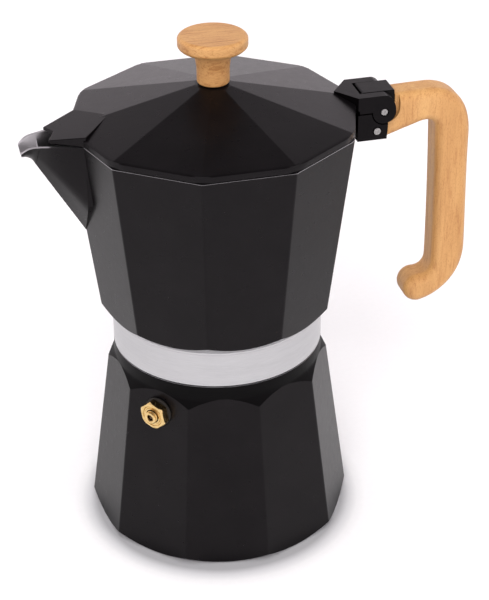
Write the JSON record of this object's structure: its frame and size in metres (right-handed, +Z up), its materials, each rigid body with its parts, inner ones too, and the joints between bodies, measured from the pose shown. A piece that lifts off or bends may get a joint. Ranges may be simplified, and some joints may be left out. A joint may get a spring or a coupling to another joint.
{
  "type": "moka pot",
  "caption": "Stovetop coffee maker: faceted boiler with safety valve, funnel, gasket and filter, screw-on collector with spout, hinged lid, knob and hooked handle.",
  "frame": {"origin": "centre of the base's flat underside, on the boiler's axis", "axes": "+Z up along the pot's axis, +X towards the handle, -X towards the spout, Y across"},
  "size_m": [0.1777, 0.1072, 0.2076],
  "materials": {
    "black_paint": "satin black paint on cast aluminium",
    "cast_aluminium": "fine turned and cast aluminium; black paint outside above the skirt",
    "aluminium_sheet": "drawn aluminium sheet, satin",
    "brass": "machined brass",
    "steel": "bright steel",
    "seal_rubber": "white food-grade rubber, matt",
    "black_fibre": "black sealing fibre, matt",
    "wood_look": "heat-resistant plastic with a beech wood look, satin"
  },
  "bodies": {
    "boiler_unit": {"boiler": "black_paint", "valve_body": "brass", "valve_washer": "black_fibre", "valve_cap": "brass"},
    "valve_stem": {"valve_plunger": "steel", "valve_spring": "steel"},
    "funnel": {"funnel_basket": "aluminium_sheet", "funnel_strainer": "aluminium_sheet", "funnel_tube": "aluminium_sheet"},
    "seal": {"gasket": "seal_rubber", "filter_plate": "aluminium_sheet"},
    "collector_unit": {"collector": "cast_aluminium", "handle_bracket": "black_paint", "bracket_rivet": "steel", "hinge_pin": "steel", "handle": "wood_look", "handle_screw": "steel"},
    "lid_unit": {"lid": "black_paint", "knob": "wood_look", "knob_washer": "steel", "knob_screw": "steel"}
  },
  "joints": [
    {"name": "valve_release", "type": "slide", "parent": "boiler_unit", "child": "valve_stem", "axis": [-0.7257, -0.688, 0], "range_m": [0, 0.0009], "stiffness_N_per_m": 2000, "springref_m": -0.001, "deforming": ["valve_spring"]},
    {"name": "funnel_lift", "type": "slide", "parent": "boiler_unit", "child": "funnel", "axis": [0, 0, 1], "range_m": [0, 0.09]},
    {"name": "screw_rise", "type": "slide", "parent": "funnel", "child": "seal", "axis": [0, 0, 1], "range_m": [0, 0.0075]},
    {"name": "screw_turn", "type": "hinge", "parent": "seal", "child": "collector_unit", "pos_m": [0, 0, 0.0795], "axis": [0, 0, 1], "range_deg": [0, 900.1]},
    {"name": "lid_hinge", "type": "hinge", "parent": "collector_unit", "child": "lid_unit", "pos_m": [0.065, 0, 0.1725], "axis": [0, 1, 0], "range_deg": [0, 90]}
  ],
  "couplings": [
    {"joint": "screw_turn", "follows": "screw_rise", "rad_per_m": 2094.4}
  ]
}
